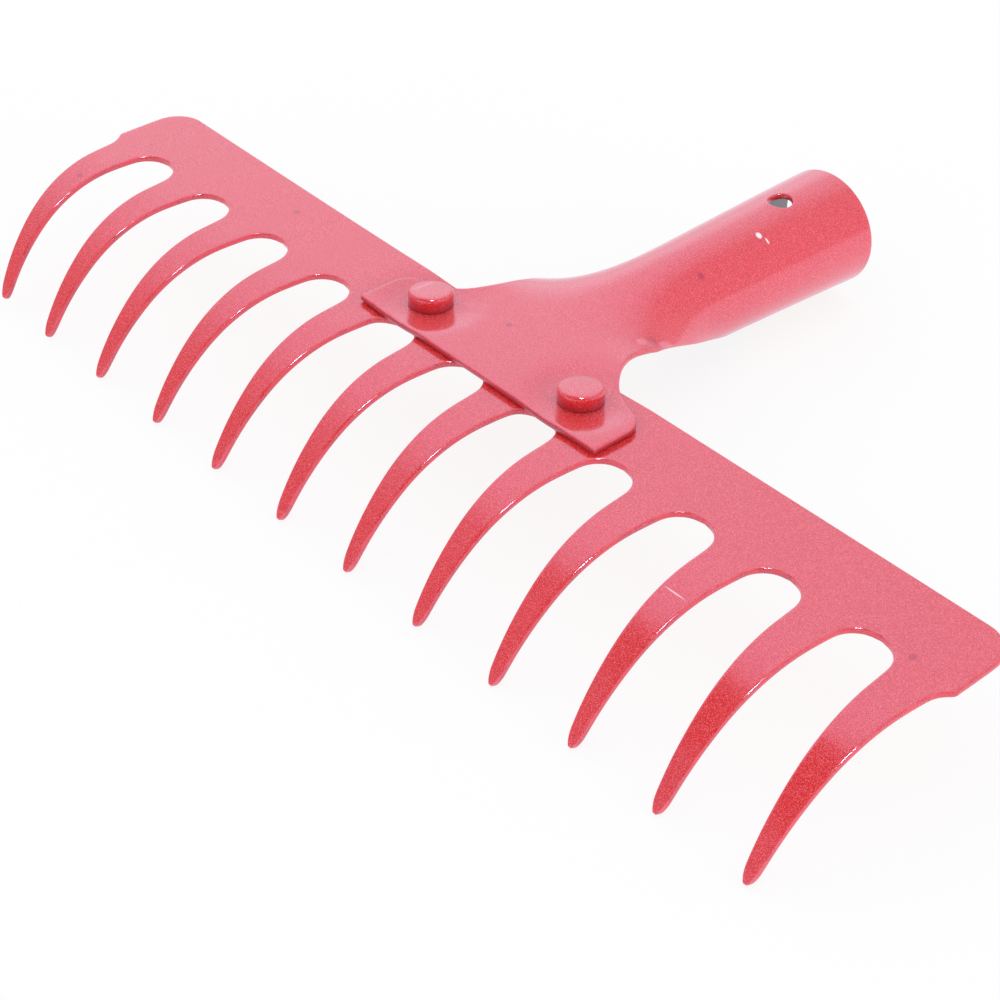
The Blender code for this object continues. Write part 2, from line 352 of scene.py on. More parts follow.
notch = math.asin((TINE_PITCH / 2 - END_OVERHANG) / SLOT_RADIUS)
runs = [-BAND_DEPTH]
runs += [
    END_CORNER_RADIUS * (1 - math.cos(angle)) - BAND_DEPTH
    for angle in steps(0, math.pi / 2, CORNER_ROWS)
]
runs += [-SLOT_RADIUS - EDGE_ROUND, -SLOT_RADIUS]
runs += [
    -SLOT_RADIUS * math.cos(angle)
    for angle in steps(0, notch, SLOT_ROWS) + steps(notch, math.pi / 2, SLOT_ROWS)
]
runs += [TINE_FLAT] + steps(TINE_FLAT, BEND_END, BEND_ROWS)
runs += steps(BEND_END, TINE_LENGTH - TIP_ROUND, SWEEP_ROWS)
runs += [
    TINE_LENGTH - TIP_ROUND * (1 - math.sin(angle) / math.sin(TIP_END_TURN))
    for angle in steps(0, TIP_END_TURN, TIP_ROWS)
]
runs.reverse()
print(len(runs), "rows from tip to back edge")

# %% [markdown]
# No two tines of a used rake stand quite alike. The one at the left end has had a knock,
# which moved its tip sideways by almost 6 mm, and a few others are up to a millimetre out
# of line. The tip moves most and the root not at all.

# %% Knocked tines
KNOCKS = {0: 0.0058, 1: 0.0010, 2: -0.0005, 3: -0.0005, 4: -0.0008, 7: -0.0004}
KNOCK_RISE = 0.0015
KNOCK_CURVE = 1.6


def knock_share(run):
    """How far a knocked tine has moved here, as a share of its tip's move."""
    return (max(run, 0) / TINE_LENGTH) ** KNOCK_CURVE


print(len(KNOCKS), "tines are out of line, most by under a millimetre")

# %% Lay the strips and weld them
STRIP_COLUMNS = 6

comb = bmesh.new()
for tine in range(TINE_COUNT):
    tine_x = (tine - (TINE_COUNT - 1) / 2) * TINE_PITCH

    def on_strip(column, row):
        run = runs[row]
        left = max(tine_x - strip_reach(run), -end_reach(run))
        right = min(tine_x + strip_reach(run), end_reach(run))
        knock = KNOCKS.get(tine, 0) * knock_share(run)
        return across(left, right, column, STRIP_COLUMNS) + knock, -run, 0

    add_grid(comb, STRIP_COLUMNS, len(runs) - 1, on_strip)
bmesh.ops.remove_doubles(comb, verts=comb.verts, dist=WELD)
print(len(comb.faces), "faces in the flat comb")

# %% [markdown]
# The holes come first and the bend second, as in the press. The left arm of the blade has
# also risen a little towards its end, so its height grows with the distance from the palm.

# %% Punch the rivet holes and bend the comb
HOLE_RADIUS = 0.0033
ARM_START = 0.055
ARM_RISE = 0.0012
ARM_CURVE = 1.3
END_TINE_SIDE = -TINE_PITCH * (TINE_COUNT / 2 - 1)

for rivet in rivet_centres.values():
    punch(comb, rivet.x, rivet.y - SLOT_LINE, HOLE_RADIUS)
for point in comb.verts:
    on_end_tine = point.co.x < END_TINE_SIDE
    knocked = KNOCK_RISE * knock_share(-point.co.y) if on_end_tine else 0
    point.co.y, point.co.z = bent(-point.co.y)
    point.co.z += knocked
    out = max(-point.co.x - ARM_START, 0) / (BLADE_END - ARM_START)
    point.co.z += ARM_RISE * out**ARM_CURVE - dished(point.co.x, point.co.y)
blade = make_sheet("blade", comb, "rake_blade")

# %% [markdown]
# ## The socket
#
# The socket is a second sheet. Its flat palm lies on the blade and narrows through two
# sloped shoulders to a neck. Behind the neck the sheet widens again, and its two wings
# are rolled down and round until they nearly meet underneath, which makes a tapered tube
# for the handle. Such a tube could be lofted between a flat section and a round one, but
# then nothing says how wide the sheet is. So it is laid out flat here too, as a pattern
# on steel is, and a single rule rolls it: the sheet curls more and more from the neck to
# the mouth, and its length stays the same.

# %% The flat outline of palm, shoulders and neck
PALM_SETBACK = 0.0044
PALM_WIDTH = 0.0866
PALM_SIDE = 0.0115
PALM_CORNER_RADIUS = 0.0055
SHOULDER_SLOPE = math.radians(23)
FILLET_RADIUS = 0.0198
NECK_WIDTH = 0.0441
NECK_LENGTH = 0.0104
FLAP_LENGTH = 0.0648
SOCKET_LENGTH = 0.1324

palm_front = SLOT_LINE + PALM_SETBACK
mouth = palm_front + SOCKET_LENGTH
side_end = palm_front + PALM_SIDE
corner_end = side_end + PALM_CORNER_RADIUS * math.cos(SHOULDER_SLOPE)
corner_reach = PALM_WIDTH / 2 - PALM_CORNER_RADIUS * (1 - math.sin(SHOULDER_SLOPE))
fillet_reach = NECK_WIDTH / 2 + FILLET_RADIUS * (1 - math.sin(SHOULDER_SLOPE))
fillet_start = corner_end + (corner_reach - fillet_reach) * math.tan(SHOULDER_SLOPE)
neck_start = fillet_start + FILLET_RADIUS * math.cos(SHOULDER_SLOPE)
flap_start = neck_start + NECK_LENGTH
seam_start = flap_start + FLAP_LENGTH
print(f"neck from {(neck_start - palm_front) * 1000:.1f} mm behind the palm's front edge")

# %% The tube's size
MOUTH_DIAMETER = 0.033
TUBE_TAPER = math.radians(1.9)
SEAM_GAP = 0.0012


def tube_radius(y):
    """Outside radius of the tube, whose bore tapers away from the mouth."""
    return MOUTH_DIAMETER / 2 - (mouth - y) * math.tan(TUBE_TAPER)


print(f"the closed tube starts {2000 * tube_radius(seam_start):.1f} mm across")


# %% Half the sheet's flat width
def sheet_reach(y):
    """From the sheet's middle to its side, anywhere from the palm to the mouth."""
    if y <= side_end:
        return PALM_WIDTH / 2
    if y <= corner_end:
        drop = PALM_CORNER_RADIUS - math.sqrt(PALM_CORNER_RADIUS**2 - (y - side_end) ** 2)
        return PALM_WIDTH / 2 - drop
    if y <= fillet_start:
        return blend(corner_reach, fillet_reach, (y - corner_end) / (fillet_start - corner_end))
    if y <= neck_start:
        return NECK_WIDTH / 2 + FILLET_RADIUS - math.sqrt(FILLET_RADIUS**2 - (neck_start - y) ** 2)
    rolled = math.pi * tube_radius(y) - SEAM_GAP / 2
    return blend(NECK_WIDTH / 2, rolled, ease((y - flap_start) / FLAP_LENGTH))


print(f"the flat sheet is {2000 * sheet_reach(mouth):.0f} mm wide at the mouth")

# %% [markdown]
# The press has left a small mark beside the neck, on the right. It is far smaller than
# the squares of the grid, so a few extra rows are laid through it to give it a shape.

# %% Where the socket has its rows
CORNER_STEPS = 4
FILLET_STEPS = 6
ROLL_STEPS = 18
MOUTH_STEPS = 5
PALM_ROUND = 0.0009
DENT_X = 0.0196
DENT_Y = 0.0042
DENT_REACH = 0.0019
DENT_DEPTH = 0.0004
DENT_ROWS = (-1.2, -0.6, 0, 0.6, 1.2)

shoulder_turn = math.pi / 2 - SHOULDER_SLOPE
rows = [palm_front, palm_front + PALM_ROUND]
rows += steps(palm_front + PALM_ROUND, side_end, CORNER_STEPS)
rows += [
    side_end + PALM_CORNER_RADIUS * math.sin(angle)
    for angle in steps(0, shoulder_turn, CORNER_STEPS)
]
rows += [
    neck_start - FILLET_RADIUS * math.sin(angle)
    for angle in [shoulder_turn] + steps(shoulder_turn, 0, FILLET_STEPS)
]
rows += steps(neck_start, seam_start, ROLL_STEPS)
rows += [DENT_Y + DENT_REACH * share for share in DENT_ROWS]
rows += steps(seam_start, mouth - EDGE_ROUND, MOUTH_STEPS) + [mouth]
rows.sort()
print(len(rows), "rows from palm to mouth")

# %% Lay the sheet out flat
SOCKET_COLUMNS = 34


def on_sheet(column, row):
    reach = sheet_reach(rows[row])
    return across(-reach, reach, column, SOCKET_COLUMNS, PALM_ROUND), rows[row], 0


wrap = bmesh.new()
add_grid(wrap, SOCKET_COLUMNS, len(rows) - 1, on_sheet)
print(len(wrap.faces), "faces in the flat sheet")

# %% [markdown]
# The nail hole and the two rivet holes are punched now, because a round hole is simple
# only in a flat sheet. The palm was riveted on almost 2 mm off the middle of the tube, so
# its rivet holes lie off the middle of the flat sheet by as much.

# %% Punch it
NAIL_HOLE_RADIUS = 0.0034
NAIL_HOLE_SETBACK = 0.0211
PALM_OFFSET = 0.0019
PALM_OFFSET_FADE = 0.032

punch(wrap, 0, mouth - NAIL_HOLE_SETBACK, NAIL_HOLE_RADIUS)
for rivet in rivet_centres.values():
    punch(wrap, rivet.x - PALM_OFFSET, rivet.y, HOLE_RADIUS)

# %% [markdown]
# The rule that rolls the sheet works on one point at a time. Across the tube a point lies
# on an arc whose radius shrinks from endless in the palm to the tube's own at the mouth.
# Along it the middle of the sheet climbs from the palm to the top of the tube. A Curve
# modifier could roll it as well, but couldn't keep the palm flat.

# %% Roll the tube
CURL_LEAD = 0.0078
CURL_LENGTH = 0.0456
MOUTH_LIFT = 0.0012
SEAT_GAP = 0.0003

palm_top = BLADE_TOP + SEAT_GAP + SHEET
tube_rise = MOUTH_DIAMETER - palm_top
curl_start = neck_start - CURL_LEAD


def rolled(along, y):
    """Where a point of the flat sheet ends up: flat in the palm, round at the mouth."""
    curl = ease((y - curl_start) / CURL_LENGTH)
    middle = PALM_OFFSET * (1 - ease((y - side_end) / PALM_OFFSET_FADE))
    top = palm_top + tube_rise * curl + MOUTH_LIFT * ease((y - flap_start) / (mouth - flap_start))
    if curl == 0:
        return middle + along, y, top - dished(middle + along, y)
    radius = tube_radius(y) / curl
    angle = along / radius
    dent = DENT_DEPTH * math.exp(-((along - DENT_X) ** 2 + (y - DENT_Y) ** 2) / DENT_REACH**2)
    return (
        middle + radius * math.sin(angle) - dent * math.sin(angle),
        y,
        top - radius * (1 - math.cos(angle)) - dent * math.cos(angle) - dished(along, y),
    )


for point in wrap.verts:
    point.co = rolled(point.co.x, point.co.y)
socket = make_sheet("handle_socket", wrap, "socket")
crown = max(point.co.z for point in socket.data.vertices)
print(f"the tube's crown is {crown * 1000:.1f} mm up")

# %% [markdown]
# ## The rivets
#
# Two solid rivets hold palm and blade together. Each has a flat-topped head above the
# palm, a shank through both sheets, and the closing head that the hammer forms below.
# Cylinders could be stacked and bevelled, but a rivet is round, so half its outline is
# drawn and spun about its axis, and a rounded edge costs only a few more points.

# %% Half a rivet's outline
HEAD_ROUND = 0.0009
SHANK_RADIUS = 0.003
CLOSING_RADIUS = 0.0052
ROUND_STEPS = 5
DOME_STEPS = 8

head_base = palm_top + SEAT_GAP
closing_top = BLADE_TOP - SHEET - SEAT_GAP


def rivet_outline(low, high):
    """(radius, z) from the middle of the head down to the middle of the closing head."""
    reach = (high.x - low.x) / 2
    outline = [(0, high.z), (reach / 2, high.z), (reach - HEAD_ROUND, high.z)]
    outline += [
        (reach - HEAD_ROUND * (1 - math.sin(a)), high.z - HEAD_ROUND * (1 - math.cos(a)))
        for a in steps(0, math.pi / 2, ROUND_STEPS)
    ]
    outline += [(reach, head_base), (SHANK_RADIUS, head_base), (SHANK_RADIUS, closing_top)]
    outline += [
        (CLOSING_RADIUS * math.cos(a), blend(closing_top, low.z, math.sin(a)))
        for a in [0] + steps(0, math.pi / 2, DOME_STEPS)
    ]
    return outline


print(len(rivet_outline(*rivet_boxes["rivet_left"])), "points in half an outline")

# %% [markdown]
# A hammer rarely lands quite square, so the top of a head leans a little. Each rivet also
# sits as deep as the dish under it. Its angles stay sharp where the outline turns hard and
# smooth elsewhere, which needs no modifier.

# %% Spin a rivet
HEAD_TILT = 0.12
RIVET_FACETS = 64
SHARP_TURN = math.radians(40)


def spin_rivet(low, high):
    """Spins the outline about its own axis and raises the head a little at its front right."""
    bm = bmesh.new()
    points = [bm.verts.new((radius, 0, z)) for radius, z in rivet_outline(low, high)]
    edges = [bm.edges.new(pair) for pair in zip(points, points[1:])]
    bmesh.ops.spin(
        bm,
        geom=points + edges,
        cent=(0, 0, 0),
        axis=(0, 0, 1),
        angle=math.tau,
        steps=RIVET_FACETS,
        use_merge=True,
    )
    bmesh.ops.remove_doubles(bm, verts=bm.verts, dist=WELD)
    bmesh.ops.recalc_face_normals(bm, faces=bm.faces)
    for point in bm.verts:
        rise = max(point.co.z - head_base, 0) / (high.z - head_base)
        point.co.z += rise * HEAD_TILT * (point.co.x - point.co.y) * math.sqrt(0.5)
    return bm


def make_rivet(name, centre, low, high):
    bm = spin_rivet(low, high)
    bmesh.ops.translate(bm, vec=(centre.x, centre.y, -DISH_DEPTH), verts=bm.verts)
    for face in bm.faces:
        face.smooth = True
    mesh = bpy.data.meshes.new(name)
    bm.to_mesh(mesh)
    bm.free()
    mesh.set_sharp_from_angle(angle=SHARP_TURN)
    rivet = bpy.data.objects.new(name, mesh)
    bpy.context.scene.collection.objects.link(rivet)
    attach(rivet, "root")
    return rivet


# %% Set both rivets
rivets = []
for node, (low, high) in rivet_boxes.items():
    rivet = make_rivet(node + "_head", rivet_centres[node], low, high)
    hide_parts(node)
    rivets.append(rivet)
print("two rivets,", len(rivets[0].data.polygons), "faces each")

# %% [markdown]
# ## The paint
#
# The head is sprayed in a thick glossy enamel. An image could be wrapped round it, but
# the pieces would need a layout for it. Noise on the object's own coordinates needs none
# and is as fine as the eye can see. A few helpers keep the node trees readable.

# %% Node helpers
def new_material(name):
    material = bpy.data.materials.new(name)
    material.use_nodes = True
    return material, material.node_tree, material.node_tree.nodes["Principled BSDF"]


def add_node(tree, kind, inputs=None, **settings):
    """Adds a node, sets its properties, and links or sets its inputs by name or number."""
    node = tree.nodes.new(kind)
    for key, value in settings.items():
        setattr(node, key, value)
    for key, value in (inputs or {}).items():
        if isinstance(value, bpy.types.NodeSocket):
            tree.links.new(value, node.inputs[key])
        else:
            node.inputs[key].default_value = value
    return node


def add_product(tree, first, second):
    return add_node(
        tree, "ShaderNodeMath", {0: first, 1: second}, operation="MULTIPLY"
    ).outputs[0]


# %% Noise, ranges and mixes
def add_noise(tree, where, size, detail=2.0):
    """Noise whose blotches are about this big, in metres."""
    return add_node(
        tree, "ShaderNodeTexNoise", {"Vector": where, "Scale": 1 / size, "Detail": detail}
    ).outputs["Fac"]


def add_range(tree, value, from_low, from_high, to_low=0, to_high=1):
    """Turns one range of values into another, and holds it at the ends."""
    return add_node(
        tree,
        "ShaderNodeMapRange",
        {0: value, 1: from_low, 2: from_high, 3: to_low, 4: to_high},
    ).outputs[0]


def add_mix(tree, share, first, second):
    """Mixes two colours, which may be values or sockets."""
    return add_node(
        tree, "ShaderNodeMix", {0: share, 6: first, 7: second}, data_type="RGBA"
    ).outputs[2]


def add_bump(tree, height, distance, strength, **inputs):
    inputs.update(Height=height, Distance=distance, Strength=strength)
    return add_node(tree, "ShaderNodeBump", inputs).outputs[0]


# %% Spots
SPOT_CORE = 0.65
SPOT_RIM = 1.1


def add_spot(tree, where, centre, reach):
    """1 inside an oval of this reach along X, Y and Z round a centre, and 0 outside."""
    away = add_node(tree, "ShaderNodeVectorMath", {0: where, 1: centre}, operation="SUBTRACT")
    scaled = add_node(
        tree, "ShaderNodeVectorMath", {0: away.outputs[0], 1: reach}, operation="DIVIDE"
    )
    far = add_node(
        tree, "ShaderNodeVectorMath", {0: scaled.outputs[0]}, operation="LENGTH"
    ).outputs["Value"]
    return add_range(tree, far, SPOT_CORE, SPOT_RIM, 1, 0)


# %% [markdown]
# The enamel has a red body whose shade wanders a little, with fine pale flecks and darker
# grains in it. Along the edges the paint is paler in patches: partly wear, and partly a
# painted highlight on the rounded edges. Its surface shines through a clear coat and isn't
# a mirror: it has a fine grain and a slow waviness, both of them bump from noise. Seen at a
# slant, old gloss paint turns pale and dusty. The sheen gives that bloom, and the socket,
# which has been handled most, has most of it.

# %% Reds
RED = (0.78, 0.009, 0.003, 1)
RED_DEEP = (0.72, 0.008, 0.003, 1)
FLECK = (0.90, 0.12, 0.11, 1)
SHADOW_RED = (0.60, 0.004, 0.004, 1)
# Paler patches along the edges: partly wear, partly a painted highlight.
WORN_AND_HIGHLIGHT_RED = (0.80, 0.10, 0.12, 1)
# Painted shade on the punched walls.
SHADED_EDGE_RED = (0.40, 0.007, 0.006, 1)
# Painted shade at the foot of walls.
PAINTED_SHADE_RED = (0.30, 0.002, 0.002, 1)
COOL_SHEEN = (0.46, 0.58, 0.88, 1)
BLOOM = (0.90, 0.72, 0.92, 1)
print("enamel red", RED[:3], "painted_shade", PAINTED_SHADE_RED[:3])

# %% [markdown]
# Noise wanders between 0 and 1 and is mostly close to 0.5. A range says which part of it
# counts, so that flecks are few and the shade is never at its deepest, and a size says how
# big its blotches are.

# %% Grain, waves and gloss
SHADE_SIZE = 0.02
WAVE_SIZE = 0.007
EDGE_PATCH_SIZE = 0.004
GRAIN_SIZE = 0.00021
SHADE_RANGE = (0.35, 0.65, 0, 0.6)
EDGE_PATCH_RANGE = (0.42, 0.60, 0.1, 0.9)
FLECK_RANGE = (0.55, 0.66)
SHADOW_RANGE = (0.46, 0.30)
GLOSS_RANGE = (0.3, 0.7)
WAVE_HEIGHT = 0.00006
WAVE_STRENGTH = 0.5
GRAIN_HEIGHT = 0.00002
GRAIN_STRENGTH = 0.6
GLOSSY = (0.10, 0.19)
DULL = (0.25, 0.4)
LIGHT_BLOOM = 0.15
FULL_BLOOM = 0.5
EDGE_IOR = 2.3
FINISH = {
    "IOR": 2.5,
    "Specular Tint": COOL_SHEEN,
    "Coat Weight": 0.4,
    "Coat IOR": 1.45,
    "Coat Roughness": 0.05,
    "Sheen Roughness": 0.4,
    "Sheen Tint": BLOOM,
}
print(f"a grain of {GRAIN_SIZE * 1000:.2f} mm on waves of {WAVE_SIZE * 1000:.0f} mm")


# %% Red enamel
def add_body(tree, where, grain, red, edge_patch_colour):
    """The colour of the paint: wandering shade, flecks, dark grains, and edges paler in patches
    from wear and a painted highlight.
    """
    shade = add_range(tree, add_noise(tree, where, SHADE_SIZE), *SHADE_RANGE)
    colour = add_mix(tree, shade, red, RED_DEEP)
    colour = add_mix(tree, add_range(tree, grain, *FLECK_RANGE), colour, FLECK)
    colour = add_mix(tree, add_range(tree, grain, *SHADOW_RANGE), colour, SHADOW_RED)
    # Paler patches along the edges: wear together with a painted highlight on the rounding.
    edge = add_node(tree, "ShaderNodeAttribute", attribute_name="edge").outputs["Fac"]
    patch = add_range(tree, add_noise(tree, where, EDGE_PATCH_SIZE, 4), *EDGE_PATCH_RANGE)
    return add_mix(tree, add_product(tree, edge, patch), colour, edge_patch_colour)


def add_surface(tree, shader, where, grain):
    """Bump: the slow waviness under coat and body, and the grain on the body alone."""
    wave = add_noise(tree, where, WAVE_SIZE)
    slow = add_bump(tree, wave, WAVE_HEIGHT, WAVE_STRENGTH)
    fine = add_bump(tree, grain, GRAIN_HEIGHT, GRAIN_STRENGTH, Normal=slow)
    tree.links.new(fine, shader.inputs["Normal"])
    tree.links.new(slow, shader.inputs["Coat Normal"])


def enamel(name, red=RED, edge_patch_colour=WORN_AND_HIGHLIGHT_RED, rough=GLOSSY, bloom=LIGHT_BLOOM, marks=()):
    material, tree, shader = new_material(name)
    where = add_node(tree, "ShaderNodeTexCoord").outputs["Object"]
    grain = add_noise(tree, where, GRAIN_SIZE, 0)
    colour = add_body(tree, where, grain, red, edge_patch_colour)
    for centre, reach, mark_colour in marks:
        colour = add_mix(tree, add_spot(tree, where, centre, reach), colour, mark_colour)
    tree.links.new(colour, shader.inputs["Base Color"])
    shine = add_range(tree, grain, *GLOSS_RANGE, *rough)
    tree.links.new(shine, shader.inputs["Roughness"])
    add_surface(tree, shader, where, grain)
    for key, value in FINISH.items():
        shader.inputs[key].default_value = value
    shader.inputs["Sheen Weight"].default_value = bloom
    print("mixed", name)
    return material


# %% [markdown]
# The punched edges get a darker red, which is painted shade on the walls, and a duller
# gloss that shows less of the room. At the foot of a wall the red deepens to almost black
# red: painted shade where the wall meets the sheet under it. That shade is a blend over the
# height of the wall, which ends where the wall no longer faces the front.

# %% Punched edges and painted shade at their foot
FOOT_FADE = 0.002


def edge_enamel(name):
    # The darker red of the walls is painted shade.
    material = enamel(name, SHADED_EDGE_RED, RED, DULL)
    material.node_tree.nodes["Principled BSDF"].inputs["IOR"].default_value = EDGE_IOR
    return material


def paint_foot_shade(material, low, high, back):
    """Paints shade: deepens the red from the height high down to low, in front of back."""
    tree = material.node_tree
    base = tree.nodes["Principled BSDF"].inputs["Base Color"]
    where = add_node(tree, "ShaderNodeTexCoord").outputs["Object"]
    parts = add_node(tree, "ShaderNodeSeparateXYZ", {0: where}).outputs
    painted_shade = add_range(tree, parts["Z"], low, high, 1, 0)
    front = add_range(tree, parts["Y"], back, back + FOOT_FADE, 1, 0)
    painted_shade = add_product(tree, painted_shade, front)
    tree.links.new(add_mix(tree, painted_shade, base.links[0].from_socket, PAINTED_SHADE_RED), base)


# %% [markdown]
# Use leaves its marks, and some of them are painted light: a few specks of dust that dried
# into the paint, two nicks in the tube with their glints painted on as near-white, a painted
# highlight along a crease across one tine, painted highlights and a painted shade round the
# pressed mark at the neck, and a painted highlight along a ridge on the left rivet. Each is
# a small oval with a place, a reach and a colour. They could be painted by hand, but an oval
# in the node tree stays sharp.

# %% Marks
DUST = (0.52, 0.002, 0.002, 1)
# A nick in the paint, its glint painted on as near-white.
NICK_GLINT = (0.95, 0.88, 0.90, 1)
# A painted highlight along a crease.
CREASE_HIGHLIGHT = (0.92, 0.50, 0.56, 1)
# Painted highlight on small ridges.
RIDGE_HIGHLIGHT = (0.84, 0.13, 0.17, 1)
# Painted shade in the middle of the pressed mark.
DENT_SHADE_RED = (0.60, 0.006, 0.006, 1)

head = rivet_centres["rivet_left"]
BLADE_MARKS = (
    ((-0.0861, -0.0273, BLADE_TOP), (0.0011, 0.0011, 0.003), DUST),
    ((0.1386, -0.0385, BLADE_TOP), (0.0010, 0.0012, 0.003), DUST),
    ((-0.1410, -0.0604, BLADE_TOP), (0.0009, 0.0009, 0.003), DUST),
    # A painted highlight along a crease across one tine.
    ((0.0906, -0.0604, BLADE_TOP), (0.0036, 0.00024, 0.003), CREASE_HIGHLIGHT),
)
SOCKET_MARKS = (
    # Painted highlights on the facets beside the pressed mark at the neck.
    ((0.0186, 0.0000, palm_top - 0.002), (0.0013, 0.0018, 0.003), RIDGE_HIGHLIGHT),
    ((0.0201, 0.0072, palm_top - 0.005), (0.0010, 0.0030, 0.004), RIDGE_HIGHLIGHT),
    # Painted shade in the pressed mark's middle.
    ((0.0191, 0.0037, palm_top - 0.003), (0.0019, 0.0017, 0.003), DENT_SHADE_RED),
    ((-0.0064, -0.0219, palm_top), (0.0010, 0.0010, 0.003), DUST),
    ((0.0087, 0.0310, palm_top), (0.0010, 0.0010, 0.003), DUST),
    # Two nicks in the tube, their glints painted on as near-white.
    ((0.0067, 0.0546, palm_top + 0.002), (0.0010, 0.0009, 0.003), NICK_GLINT),
    ((0.0088, 0.0558, palm_top + 0.001), (0.0009, 0.0003, 0.003), NICK_GLINT),
)
HEAD_MARKS = (
    # A painted highlight along a ridge on the left rivet's top.
    ((head.x - 0.0031, head.y + 0.0006, palm_top + 0.004), (0.0008, 0.0046, 0.003), RIDGE_HIGHLIGHT),
)
print(len(BLADE_MARKS + SOCKET_MARKS + HEAD_MARKS), "marks")

# %% [markdown]
# A Solidify modifier can give the rim of a sheet the next material in its list, so the
# punched edges get their own paint and nobody has to pick faces.

# %% Paint the blade, the palm and the rivets
FOOT_SHADE_BELOW = 0.0008
FOOT_SHADE_ABOVE = 0.0030

blade.data.materials.append(enamel("blade_enamel", marks=BLADE_MARKS))
# The blade's punched walls get the darker red of painted shade.
blade.data.materials.append(edge_enamel("blade_edge_enamel"))
blade.modifiers["sheet thickness"].material_offset_rim = 1
socket.data.materials.append(enamel("socket_enamel", bloom=FULL_BLOOM, marks=SOCKET_MARKS))
rivet_enamel = enamel("rivet_enamel", marks=HEAD_MARKS)
# Painted shade round the foot of each rivet head.
paint_foot_shade(rivet_enamel, palm_top - FOOT_SHADE_BELOW, palm_top + FOOT_SHADE_ABOVE, corner_end)
for rivet in rivets:
    rivet.data.materials.append(rivet_enamel)
print("painted", [blade.name, socket.name] + [rivet.name for rivet in rivets])

# %% [markdown]
# ## The bare bore
#
# Little paint gets into the tube, so the inside stays a dull grey. The Solidify modifier
# can give the inner side of the sheet another material too. That material is enamel
# under the palm and turns to bare steel inside the tube, along a ragged border.

# %% Grey steel inside
STEEL = (0.30, 0.27, 0.26, 1)
STEEL_ROUGHNESS = 0.5
INNER_ROUGHNESS = 0.2
RAGGED_SIZE = 0.006
RAGGED_REACH = 0.02
BARE_START = flap_start + 0.02
BARE_END = flap_start + 0.035

inside = enamel("socket_inside")
tree = inside.node_tree
shader = tree.nodes["Principled BSDF"]
where = add_node(tree, "ShaderNodeTexCoord").outputs["Object"]
depth = add_node(tree, "ShaderNodeSeparateXYZ", {0: where}).outputs["Y"]
ragged = add_node(
    tree,
    "ShaderNodeMath",
    {0: add_noise(tree, where, RAGGED_SIZE), 1: RAGGED_REACH, 2: depth},
    operation="MULTIPLY_ADD",
).outputs[0]
bare = add_range(tree, ragged, BARE_START, BARE_END)
rough = add_range(tree, bare, 0, 1, INNER_ROUGHNESS, STEEL_ROUGHNESS)
paint_colour = shader.inputs["Base Color"].links[0].from_socket
tree.links.new(add_mix(tree, bare, paint_colour, STEEL), shader.inputs["Base Color"])
tree.links.new(bare, shader.inputs["Metallic"])
tree.links.new(rough, shader.inputs["Roughness"])
print(f"the bore is bare from about y = {BARE_START:.3f} m towards the mouth")

# %% Line the socket
FOOT_SHADE_TOP = 0.0003

socket.data.materials.append(inside)
# Painted shade: the socket's punched walls are darker red, and near-black at their foot.
socket_edge = edge_enamel("socket_edge_enamel")
paint_foot_shade(socket_edge, BLADE_TOP, palm_top + FOOT_SHADE_TOP, corner_end)
socket.data.materials.append(socket_edge)
socket.modifiers["sheet thickness"].material_offset = 1
socket.modifiers["sheet thickness"].material_offset_rim = 2
print("the socket's materials:", [material.name for material in socket.data.materials])

# %% [markdown]
# ## The floor
#
# The head stands on a white floor. A floor bright enough to look white would wash the
# object out with its light, so the camera and the gloss see a plain white glow of
# strength 1 instead, and all other light meets ordinary pale paint. The glow takes up
# most of the mix and not all of it, which leaves room for the head's soft shadow.

# %% The floor
FLOOR_REACH = 3
FLOOR_GLOW = 0.86
FLOOR_WHITE = (0.9, 0.9, 0.9, 1)
FLOOR_ROUGHNESS = 0.9

floor_bm = bmesh.new()
bmesh.ops.create_grid(floor_bm, x_segments=1, y_segments=1, size=FLOOR_REACH)
floor_mesh = bpy.data.meshes.new("floor")
floor_bm.to_mesh(floor_mesh)
floor_bm.free()
floor = bpy.data.objects.new("floor", floor_mesh)
bpy.context.scene.collection.objects.link(floor)
print(f"a floor of {2 * FLOOR_REACH} m")

# %% Its white
material, tree, shader = new_material("white_floor")
shader.inputs["Base Color"].default_value = FLOOR_WHITE
shader.inputs["Roughness"].default_value = FLOOR_ROUGHNESS
shader.inputs["Specular IOR Level"].default_value = 0
glow = add_node(tree, "ShaderNodeEmission", {"Strength": 1.0})
rays = add_node(tree, "ShaderNodeLightPath")
seen = add_node(
    tree,
    "ShaderNodeMath",
    {0: rays.outputs["Is Camera Ray"], 1: rays.outputs["Is Glossy Ray"]},
    operation="MAXIMUM",
).outputs[0]
seen = add_product(tree, seen, FLOOR_GLOW)
floor_mix = add_node(
    tree, "ShaderNodeMixShader", {0: seen, 1: shader.outputs[0], 2: glow.outputs[0]}
)
tree.links.new(floor_mix.outputs[0], tree.nodes["Material Output"].inputs["Surface"])
floor.data.materials.append(material)
print(f"{FLOOR_GLOW:.0%} of what the camera sees of it is plain white")

# %% [markdown]
# ## The light
#
# A large soft lamp over the left side, one low on the right and one low in front light
# the paint itself. Gloss would show them as hard ovals, so they are hidden from it. A
# small lamp high above the camera does the reverse: it lights nothing, and only puts
# white glints on the rounded edges.

# %% Four lamps
def towards(azimuth, elevation):
    """A direction: azimuth in degrees from +Y round to +X, elevation above the floor."""
    a, e = math.radians(azimuth), math.radians(elevation)
    return Vector((math.sin(a) * math.cos(e), math.cos(a) * math.cos(e), math.sin(e)))


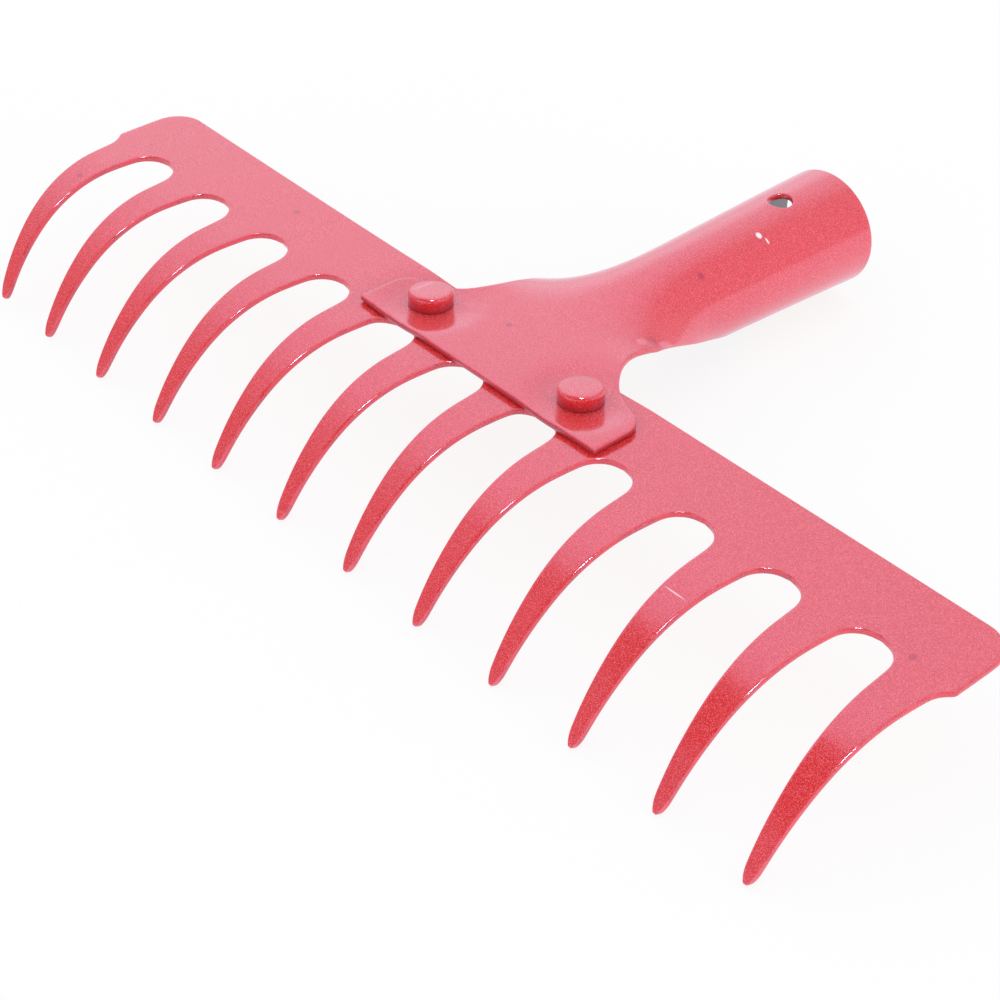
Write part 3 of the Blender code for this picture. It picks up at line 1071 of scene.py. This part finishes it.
def add_lamp(name, direction, distance, width, height, glow):
    """An oval lamp that hangs in this direction, faces the head and glows this strongly."""
    lamp = bpy.data.lights.new(name, "AREA")
    lamp.shape = "ELLIPSE"
    lamp.size = width
    lamp.size_y = height
    lamp.energy = glow * math.pi * math.pi / 4 * width * height
    placed = bpy.data.objects.new(name, lamp)
    placed.location = direction * distance
    placed.rotation_euler = direction.to_track_quat("Z", "Y").to_euler()
    bpy.context.scene.collection.objects.link(placed)
    print(f"{name}: {lamp.energy:.1f} W")
    return placed


soft_light = add_lamp(
    "soft_light", towards(-84, 45), distance=3.0, width=4.5, height=2.5, glow=0.35
)
side_light = add_lamp(
    "side_light", towards(80, 12), distance=2.5, width=2.0, height=1.5, glow=2.6
)
front_light = add_lamp(
    "front_light", towards(175, 15), distance=2.5, width=2.0, height=1.5, glow=1.1
)
for lamp in (soft_light, side_light, front_light):
    lamp.visible_glossy = False
glint_lamp = add_lamp(
    "glint_lamp", towards(126, 62), distance=1.1, width=0.20, height=0.20, glow=70
)
glint_lamp.visible_diffuse = False

# %% [markdown]
# ## The room
#
# Gloss shows the room: the pink of the flat faces is a pale wall in red paint. The room
# could be built from panels, but it is quicker to paint the world, and only for gloss. A
# bright patch opposite the camera is what the flat faces mirror. A dark one overhead and
# in front, with a sharp border, is what the bent tines mirror, and it brings out their
# deep red. Walls that face the camera, such as the sides of the rivets, mirror the dark
# side behind it.

# %% Paint the room
ROOM_GLOW = 0.62
SKY_FILL = 0.95
ROOM_PATCHES = {
    "bright, opposite the camera": (towards(-62, 48), 12, 44, 1.88),
    "dark, overhead and in front": (towards(174, 55), 37, 39, 0.34),
    "dim, low in front on the left": (towards(-140, 12), 10, 27, 0.6),
    "bright, low behind the head": (towards(-50, 0), 15, 35, 1.6),
    "dark, behind the camera": (towards(135, 25), 30, 55, 0.2),
}


def add_patch(tree, direction, glow, middle, inner, outer, factor):
    """Multiplies the glow by the factor inside the inner angle, fading out to 1."""
    nearness = add_node(
        tree, "ShaderNodeVectorMath", {0: direction, 1: middle}, operation="DOT_PRODUCT"
    ).outputs["Value"]
    edges = [math.cos(math.radians(angle)) for angle in (outer, inner)]
    return add_product(tree, glow, add_range(tree, nearness, *edges, 1, factor))


world = bpy.data.worlds.new("room")
bpy.context.scene.world = world
world.use_nodes = True
tree = world.node_tree
direction = add_node(tree, "ShaderNodeTexCoord").outputs["Generated"]
mirrored = ROOM_GLOW
for patch, shape in ROOM_PATCHES.items():
    mirrored = add_patch(tree, direction, mirrored, *shape)
    print("in the room:", patch)

# %% [markdown]
# Three kinds of ray see three worlds: gloss sees the painted room, soft light gets an
# even fill, and the camera gets plain white.

# %% What each ray sees
WHITE = (1, 1, 1, 1)

rays = add_node(tree, "ShaderNodeLightPath")
fill = add_node(tree, "ShaderNodeBackground", {"Color": WHITE, "Strength": SKY_FILL})
gloss = add_node(tree, "ShaderNodeBackground", {"Color": WHITE, "Strength": mirrored})
view = add_node(tree, "ShaderNodeBackground", {"Color": WHITE, "Strength": 1.0})
in_gloss = add_node(
    tree,
    "ShaderNodeMixShader",
    {0: rays.outputs["Is Glossy Ray"], 1: fill.outputs[0], 2: gloss.outputs[0]},
)
in_view = add_node(
    tree,
    "ShaderNodeMixShader",
    {0: rays.outputs["Is Camera Ray"], 1: in_gloss.outputs[0], 2: view.outputs[0]},
)
tree.links.new(in_view.outputs[0], tree.nodes["World Output"].inputs["Surface"])
print("a white room, strength", ROOM_GLOW)
